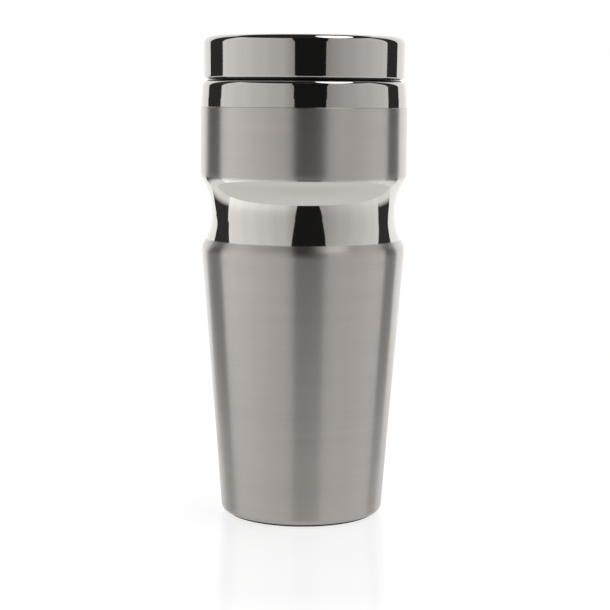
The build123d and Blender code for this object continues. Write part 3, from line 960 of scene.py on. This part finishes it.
class MUG_OT_hub(bpy.types.Operator):
    """Tube in the middle of the dish, with the seal round the stem in its floor"""
    bl_idname = "mug.hub"
    bl_label = "Hub"

    def execute(self, context):
        _, finishes = settings(context)
        flange, outside, wall = reach("hub_tube"), hub_radius, moulded_wall
        bore = outside - wall
        rib_radius = reach("rotor")
        lower_bore = rib_radius + 1.05 * mm
        foot = lower_bore + wall
        guide_z = low("click_guide")
        bottom, top = low("hub_tube"), high("hub_tube")
        pocket = reach("stem_seal") + play
        pocket_z = high("stem_seal") + play
        stem_bore = 2.45 * mm
        turned("hub_housing", "lid", "black_plastic", lid_plastic(finishes), "hub_tube", [
            (pocket, pocket_z), (pocket, bottom, 0.2 * mm),
            (foot, bottom, 0.9 * mm), (foot, guide_z - 2 * wall, 1.8 * mm),
            (outside, guide_z - wall, 1.8 * mm), (outside, ceiling_z - wall, 0.3 * mm),
            (flange, ceiling_z - wall, 0.54 * mm), (flange, ceiling_z),
            (outside, ceiling_z), (outside, top, 0.54 * mm),
            (bore, top), (bore, guide_z),
            (lower_bore, guide_z), (lower_bore, hub_floor_z, 0.4 * mm),
            (stem_bore, hub_floor_z), (stem_bore, pocket_z),
        ])
        inside, seal, top = 2.7 * mm, reach("stem_seal"), high("stem_seal")
        turned("stem_wiper", "lid", "silicone", grey_silicone(finishes), "stem_seal", [
            (inside, bottom + 0.3 * mm, 0.1 * mm),
            (inside + 0.4 * mm, bottom, 0.1 * mm),
            (seal, bottom, 0.2 * mm), (seal, top, 0.2 * mm),
            (inside + 0.5 * mm, top, 0.2 * mm),
            (inside + 0.5 * mm, bottom + 0.8 * mm, 0.2 * mm),
        ], 96)
        return {"FINISHED"}


class MUG_OT_skirt(bpy.types.Operator):
    """Screwed skirt under the dish, down to the valve seat"""
    bl_idname = "mug.skirt"
    bl_label = "Screwed skirt"

    def execute(self, context):
        sizes, finishes = settings(context)
        flange = sizes.throat_radius - 0.35 * mm
        groove = flange - 0.75 * mm
        seat = groove - 3.8 * mm
        seat_z = low("screw_skirt")
        groove_top = high("lid_gasket") + play
        plastic = lid_plastic(finishes)
        turned("skirt_tube", "lid", "black_plastic", plastic, "screw_skirt", [
            (seat, seat_z, 0.28 * mm),
            (flange, seat_z, 0.28 * mm), (flange, sizes.ledge_z),
            (groove, sizes.ledge_z), (groove, groove_top),
            (skirt_radius, groove_top, 0.3 * mm), (skirt_radius, dish_z),
            (chamber_radius, dish_z), (chamber_radius, groove_top + 3.8 * mm, 3.8 * mm),
            (seat, sizes.ledge_z + 1.4 * mm, 0.3 * mm),
        ])
        mesh = screw("skirt_screw", skirt_radius, sizes.thread_height, sizes, 0)
        piece("skirt_screw", mesh, "lid", "black_plastic", plastic)
        return {"FINISHED"}


class MUG_OT_gaskets(bpy.types.Operator):
    """Lipped silicone rings of the lid, the valve and the button"""
    bl_idname = "mug.gaskets"
    bl_label = "Gaskets"

    def execute(self, context):
        sizes, finishes = settings(context)
        rubber = grey_silicone(finishes)
        outside, bottom, top = reach("lid_gasket"), low("lid_gasket"), high("lid_gasket")
        bore, groove, edge = sizes.throat_radius - 0.8 * mm, outside - 1.0 * mm, 0.3 * mm
        turned("lid_ring", "lid_seal", "silicone", rubber, "lid_gasket", [
            (bore, bottom, edge),
            (outside - 1.3 * mm, bottom, edge),
            (outside, bottom + 0.35 * mm, edge / 2),
            (groove, bottom + 1.15 * mm, edge), (groove, bottom + 1.5 * mm, edge),
            (outside, bottom + 1.85 * mm, edge / 2),
            (outside - 0.8 * mm, top, edge),
            (bore, top, edge),
        ])
        outside, bottom, top = reach("valve_gasket"), low("valve_gasket"), high("valve_gasket")
        bore = outside - 3 * mm
        turned("valve_ring", "valve", "silicone", rubber, "valve_gasket", [
            (bore, bottom, 0.2 * mm),
            (outside, bottom, 0.3 * mm), (outside, top - 0.9 * mm, 0.4 * mm),
            (outside - 0.7 * mm, top - 0.5 * mm, 0.4 * mm),
            (outside - 1.2 * mm, top, 0.3 * mm),
            (bore, top, 0.8 * mm),
        ])
        outside, bottom, top = reach("button_seal"), low("button_seal"), high("button_seal")
        lip = button_radius + play
        turned("button_wiper", "lid", "silicone", rubber, "button_seal", [
            (lip, bottom + 0.5 * mm, 0.1 * mm),
            (outside - 1.2 * mm, bottom, 0.3 * mm),
            (outside, bottom, 0.2 * mm), (outside, top, 0.2 * mm),
            (lip + 0.7 * mm, top, 0.3 * mm),
            (lip, bottom + 0.9 * mm, 0.1 * mm),
        ])
        return {"FINISHED"}


class MUG_OT_button(bpy.types.Operator):
    """Push button: its toothed cap, the steel disc in its top and the ring round it"""
    bl_idname = "mug.button"
    bl_label = "Push button"
    teeth = 8

    def execute(self, context):
        _, finishes = settings(context)
        bottom, top = low("push_button"), high("push_button")
        disc = low("button_disc")
        rim, wall = 0.9 * mm, 1.4 * mm
        roof = disc - wall
        crown = reach("rotor") - 2.1 * mm
        bore = crown - moulded_wall
        head = low("click_guide") + 8.55 * mm
        outline = rounded([
            (0, roof),
            (bore, roof, 0.3 * mm), (bore, bottom),
            (crown, bottom), (crown, roof, 0.3 * mm),
            (button_radius - wall, roof, 0.3 * mm), (button_radius - wall, head, 0.2 * mm),
            (button_radius, head, 0.2 * mm), (button_radius, top, 0.45 * mm),
            (button_radius - rim, top, 0.15 * mm), (button_radius - rim, disc),
            (0, disc),
        ])
        points, wrap_rows, wrap_columns = turned_patch(outline)
        self.cut_teeth(points, bore, bottom)
        inner, outer, key_z = crown - moulded_wall / 2, crown + 1.0 * mm, bottom + 1.05 * mm
        keys = [
            radial_bar(inner, outer, 2.4 * mm, key_z, roof, i * turn / self.teeth)
            for i in range(self.teeth)
        ]
        mesh = mesh_of("button_cap", [(points, wrap_rows, wrap_columns), *keys])
        piece("button_cap", mesh, "button", "black_plastic", lid_plastic(finishes), "push_button")
        edge = reach("button_disc")
        turned("button_face", "button", "brushed_steel", spun_steel(finishes), "button_disc", [
            (0, disc),
            (edge, disc), (edge, top, 0.24 * mm),
            (edge - 1.2 * mm, top - 0.02 * mm, 1 * mm),
            (0, top - 0.25 * mm),
        ])
        hub_top = high("hub_tube")
        inside = button_radius + 0.35 * mm
        sleeve = hub_radius - moulded_wall - fit
        outside = hub_radius - 0.36 * mm
        ring_top = high("button_bezel")
        turned("button_ring", "lid", "polished_steel", mirror_steel(finishes), "button_bezel", [
            (inside, low("button_bezel"), 0.1 * mm),
            (sleeve, low("button_bezel"), 0.2 * mm), (sleeve, hub_top),
            (outside, hub_top), (outside, ring_top, 0.48 * mm),
            (inside, ring_top, 0.32 * mm),
        ])
        return {"FINISHED"}

    def cut_teeth(self, points, bore, bottom):
        """Pointed notches in the sleeve's lower edge, h (1 - |across| / half a tooth) high."""
        tooth = turn / self.teeth
        angle = np.arctan2(points[:, :, 1], points[:, :, 0])
        radius = np.hypot(points[:, :, 0], points[:, :, 1])
        across = radius * np.sin((angle + tooth / 2) % tooth - tooth / 2)
        height, reaches_up = 1.6 * mm, 4 * mm
        depth = height * np.clip(1 - np.abs(across) / (bore * np.tan(tooth / 2)), 0, 1)
        near = np.clip(1 - (points[:, :, 2] - bottom) / reaches_up, 0, 1)
        sleeve = radius < bore + moulded_wall + 0.1 * mm
        points[:, :, 2] += depth * near * sleeve


class MUG_OT_click_works(bpy.types.Operator):
    """Click guide, rotor, clip and return spring"""
    bl_idname = "mug.click_works"
    bl_label = "Click works"

    def execute(self, context):
        _, finishes = settings(context)
        dress("click_guide", click_plastic(finishes))
        dress("rotor", click_plastic(finishes))
        wire_steel = drawn_wire(finishes)
        dress("stem_clip", wire_steel)
        seat, web = hub_floor_z, high("stem_clip") + fit
        coil_radius, wire, turns = 7.3 * mm, 1.2 * mm, 5.5
        mesh = coil_mesh("coil_spring", coil_radius, wire, seat + fit, web - fit, turns)
        spring = piece("coil_spring", mesh, "lid", "spring_steel", wire_steel, "return_spring")
        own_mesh(spring)
        return {"FINISHED"}


class MUG_OT_valve(bpy.types.Operator):
    """Valve stem, plate and finger nut"""
    bl_idname = "mug.valve"
    bl_label = "Valve"

    def execute(self, context):
        _, finishes = settings(context)
        plastic = lid_plastic(finishes)
        bottom, top = low("valve_stem"), high("valve_stem")
        boss_top = high("valve_nut") + 5.4 * mm
        head = top - 1.3 * mm
        rod, shank, head_radius, bore = 2.0 * mm, 2.4 * mm, 4.3 * mm, 2.05 * mm
        turned("stem_rod", "valve", "spring_steel", drawn_wire(finishes), "valve_stem", [
            (0, bottom),
            (rod, bottom, 0.3 * mm), (rod, boss_top),
            (shank, boss_top, 0.15 * mm), (shank, head),
            (head_radius, head, 0.1 * mm), (head_radius, top, 0.39 * mm),
            (0, top),
        ], 96)
        under, plate_top = low("valve_plate"), low("valve_gasket") - play
        rim = reach("valve_plate")
        locator, locator_z, boss = rim - 3.3 * mm, plate_top + 2.4 * mm, 5.5 * mm
        turned("plate_disc", "valve", "black_plastic", plastic, "valve_plate", [
            (bore, under),
            (8.0 * mm, under),
            (rim, under + 0.9 * mm, 0.36 * mm), (rim, plate_top, 0.15 * mm),
            (locator, plate_top, 0.1 * mm), (locator, locator_z, 0.6 * mm),
            (locator - 2 * mm, locator_z, 0.6 * mm), (locator - 2 * mm, plate_top, 1 * mm),
            (boss, plate_top, 1 * mm), (boss, boss_top, 0.6 * mm),
            (bore, boss_top),
        ])
        mesh = self.lobed_nut(bore, low("valve_nut"), high("valve_nut"))
        piece("finger_nut", mesh, "valve", "black_plastic", plastic, "valve_nut")
        return {"FINISHED"}

    def lobed_nut(self, bore, bottom, top):
        """Turned knob with six finger grips: r = outline radius - depth cos^6 (3 a)."""
        outside = 8 * mm
        outline = rounded([
            (bore, bottom, 0.3 * mm),
            (outside, bottom, 1.1 * mm), (outside, top, 0.1 * mm),
            (bore, top),
        ])
        points, wrap_rows, wrap_columns = turned_patch(outline, 288)
        angle = np.arctan2(points[:, :, 1], points[:, :, 0])
        radius = np.hypot(points[:, :, 0], points[:, :, 1])
        deepest, inner, fade = 1.15 * mm, 5 * mm, 2.6 * mm
        depth = deepest * np.cos(3 * angle) ** 6 * smooth((radius - inner) / fade)
        points[:, :, :2] *= (1 - depth / radius)[:, :, None]
        return mesh_of("finger_nut", [(points, wrap_rows, wrap_columns)])


# Studio

def at(value, *place):
    """A value at a place, where it may be a plain number or a function of the place."""
    return value(*place) if callable(value) else value


def wall_card(name, first, last, heights, light):
    """Upright curved card round the mug: x = r sin a, y = -r cos a, a from the camera.

    First and last are its edges in degrees at a height, and light is the brightness at an
    angle and a height.
    """
    card_radius, steps = 1.45, 33
    height = np.linspace(*heights, steps)
    first, last = at(first, height), at(last, height)
    side = first + np.linspace(0, 1, steps)[:, None] * (last - first)
    side, height = np.broadcast_arrays(side, height)
    a = np.radians(side)
    points = np.stack([card_radius * np.sin(a), -card_radius * np.cos(a), height], 2)
    card(name, points, at(light, np.abs(side), height), False)


def ceiling_card(name, centre, along, across, height, light):
    """Level oval card: centre + s (along cos t + across sin t), for s from 0 to 1."""
    s, t = np.meshgrid(np.linspace(1, 0, 8), np.arange(64) * turn / 64, indexing="ij")
    x = centre[0] + s * (along[0] * np.cos(t) + across[0] * np.sin(t))
    y = centre[1] + s * (along[1] * np.cos(t) + across[1] * np.sin(t))
    card(name, np.stack([x, y, height + 0 * x], 2), light, True)


def card(name, points, light, wrap_columns):
    """Card that glows by its own light attribute and that only reflections show."""
    rows, columns = points.shape[:2]
    mesh = bpy.data.meshes.new(name)
    faces = grid_faces(rows, columns, False, wrap_columns)
    mesh.from_pydata(points.reshape(-1, 3), [], faces.tolist())
    glow = mesh.attributes.new("light", "FLOAT", "POINT")
    light = np.broadcast_to(light, (rows, columns))
    glow.data.foreach_set("value", light.astype(np.float32).ravel())
    made = placed(name, mesh, card_light())
    made.visible_camera = False


@made_once
def card_light(lit):
    """Plain light of the strength that the card's own attribute gives."""
    shader = lit.add("ShaderNodeEmission")
    value = lit.add("ShaderNodeAttribute", attribute_name="light")
    lit.link(value.outputs["Fac"], shader.inputs["Strength"])
    return shader


def build_floor(studio):
    """Level round floor, pure white at its edge; near the mug it keeps shadow and reflection."""
    radius = np.concatenate([[0], np.geomspace(0.01, studio.floor_radius, 24)])
    patch = turned_patch(np.stack([radius, 0 * radius], 1)[::-1], 96, closed=False)
    foot_edge, shadow_end, mirror_start, mirror_end = 0.035, 0.1, 0.115, 0.27
    tone = Finish("pale_floor")
    away = tone.distance(tone.place())
    shader = tone.plain(0.03, 1.5)
    tone.link(tone.spread(away, 0.9, 0, foot_edge, shadow_end), shader.inputs["Base Color"])
    white = tone.add("ShaderNodeEmission")
    near = tone.spread(away, 1.24, 1.53, foot_edge, shadow_end)
    far = tone.spread(away, 1, 0.68, mirror_start, mirror_end)
    seen = tone.add("ShaderNodeLightPath").outputs
    kept = tone.spread(seen["Is Camera Ray"], 0.77, 1, 0, 1)
    strength = tone.combine("MULTIPLY", tone.combine("MULTIPLY", near, far), kept)
    tone.link(strength, white.inputs["Strength"])
    rays = tone.combine("MAXIMUM", seen["Is Camera Ray"], seen["Is Glossy Ray"])
    rays = tone.combine("MAXIMUM", rays, seen["Is Transmission Ray"])
    fade = tone.spread(away, 0.6, 1, mirror_start, mirror_end)
    share = tone.combine("MULTIPLY", fade, rays)
    material = tone.done(tone.blend(share, shader, white))
    placed("floor", mesh_of("floor", [patch]), material)


class MUG_OT_stage(bpy.types.Operator):
    """White surround, floor, black and light cards, and the camera"""
    bl_idname = "mug.stage"
    bl_label = "Stage"

    def execute(self, context):
        studio = context.scene.mug_studio
        world = bpy.data.worlds.new("white_surround")
        world.use_nodes = True
        surround = world.node_tree.nodes["Background"]
        surround.inputs["Color"].default_value = (1, 1, 1, 1)
        surround.inputs["Strength"].default_value = 1
        context.scene.world = world
        build_floor(studio)
        self.hang_cards(studio)
        self.place_camera(studio)
        context.scene.view_settings.view_transform = "Standard"
        return {"FINISHED"}

    def hang_cards(self, studio):
        """Black card in front, light panels beside it, black cards behind them, dark ceiling.

        The panels are brighter low down, and uneven like hung cloth.
        """
        near_black, dark, bright, lamp = 0.013, 0.03, 1.12, 2.6
        walls, top = (-1.2, 1.75), (1.75, 2.0)

        def cloth(side, height):
            folds = 1 + 0.018 * np.sin(0.31 * side) + 0.012 * np.sin(0.83 * side + 1)
            return studio.panel_light * folds * stepped(height, -0.6, 0.75, 1.2, 1)

        def left_light(side, height):
            level = 0.62 + 0.40 * np.clip((side - 20) / 80, 0, 1)
            level *= stepped(height, -0.4, 0.4, 1.12, 1) * stepped(side, 11, 11, 0.75, 1)
            return level * cloth(side, height)

        def right_light(side, height):
            level = 0.48 + 0.38 * np.clip((side - 31) / 73, 0, 1)
            return level * stepped(side, 26, 8, 0.85, 1) * cloth(side, height)

        def side_light(_, height):
            return stepped(height, -0.34, 0.14, 0.95, 0.04)

        def front_left(height):
            return -9.9 - 4.0 * height

        def front_right(height):
            return 23.2 + 5.5 * height

        def inner_left(height):
            return stepped(height, 0.1, 0.08, -106.3, -104.1)

        def back_left(height):
            return stepped(height, -0.1, 0.25, -145, -133)

        def back_right(height):
            return stepped(height, -0.1, 0.25, 134, 130)

        def round_to_left(height):
            return 360 + back_left(height)

        inner_right = 106.5
        wall_card("black_front", front_left, front_right, walls, near_black)
        wall_card("panel_left", inner_left, front_left, walls, left_light)
        wall_card("panel_right", front_right, inner_right, walls, right_light)
        wall_card("black_left", back_left, inner_left, walls, side_light)
        wall_card("black_right", inner_right, back_right, walls, side_light)
        wall_card("panel_back", back_right, round_to_left, walls, bright)
        wall_card("dark_top", -180, 180, top, near_black)
        ceiling_card("dark_ceiling", (0, 0), (1.46, 0), (0, 1.46), 2.0, dark)
        ceiling_card("ceiling_light", (0.72, -0.25), (0.42, 0.25), (0.3, -0.68), 1.95, lamp)

    def place_camera(self, studio):
        camera = placed("camera", bpy.data.cameras.new("camera"))
        bpy.context.scene.camera = camera
        camera.data.sensor_width = 36
        camera.data.lens = 101.98
        camera.data.clip_start = 0.01
        camera.location = (studio.camera_shift, -studio.camera_distance, studio.camera_height)
        tilt = Euler((np.pi / 2 - studio.camera_pitch, 0, 0)).to_matrix()
        roll = Matrix.Rotation(studio.camera_roll, 3, "Z")
        camera.rotation_euler = (tilt @ roll).to_euler()


steps = (
    MUG_OT_outer_wall,
    MUG_OT_vessel,
    MUG_OT_collar,
    MUG_OT_foot,
    MUG_OT_cap,
    MUG_OT_dish,
    MUG_OT_hub,
    MUG_OT_skirt,
    MUG_OT_gaskets,
    MUG_OT_button,
    MUG_OT_click_works,
    MUG_OT_valve,
    MUG_OT_stage,
)


class MUG_PT_pieces(bpy.types.Panel):
    """Sizes, finishes and the steps that make the mug"""
    bl_label = "Travel mug"
    bl_idname = "MUG_PT_pieces"
    bl_space_type = "VIEW_3D"
    bl_region_type = "UI"
    bl_category = "Mug"

    def draw(self, context):
        scene = context.scene
        for group in (scene.mug_sizes, scene.mug_finishes, scene.mug_studio):
            box = self.layout.box()
            for name in group.bl_rna.properties.keys():
                if name not in {"rna_type", "name"}:
                    box.prop(group, name)
        for step in steps:
            self.layout.operator(step.bl_idname)


classes = (MugSizes, MugFinishes, MugStudio, *steps, MUG_PT_pieces)


def register():
    for one in classes:
        bpy.utils.register_class(one)
    bpy.types.Scene.mug_sizes = bpy.props.PointerProperty(type=MugSizes)
    bpy.types.Scene.mug_finishes = bpy.props.PointerProperty(type=MugFinishes)
    bpy.types.Scene.mug_studio = bpy.props.PointerProperty(type=MugStudio)


def unregister():
    del bpy.types.Scene.mug_studio, bpy.types.Scene.mug_finishes, bpy.types.Scene.mug_sizes
    for one in reversed(classes):
        bpy.utils.unregister_class(one)


def main():
    register()
    bpy.ops.mug.outer_wall()
    bpy.ops.mug.vessel()
    bpy.ops.mug.collar()
    bpy.ops.mug.foot()
    bpy.ops.mug.cap()
    bpy.ops.mug.dish()
    bpy.ops.mug.hub()
    bpy.ops.mug.skirt()
    bpy.ops.mug.gaskets()
    bpy.ops.mug.button()
    bpy.ops.mug.click_works()
    bpy.ops.mug.valve()
    bpy.ops.mug.stage()


if __name__ == "__main__":
    main()
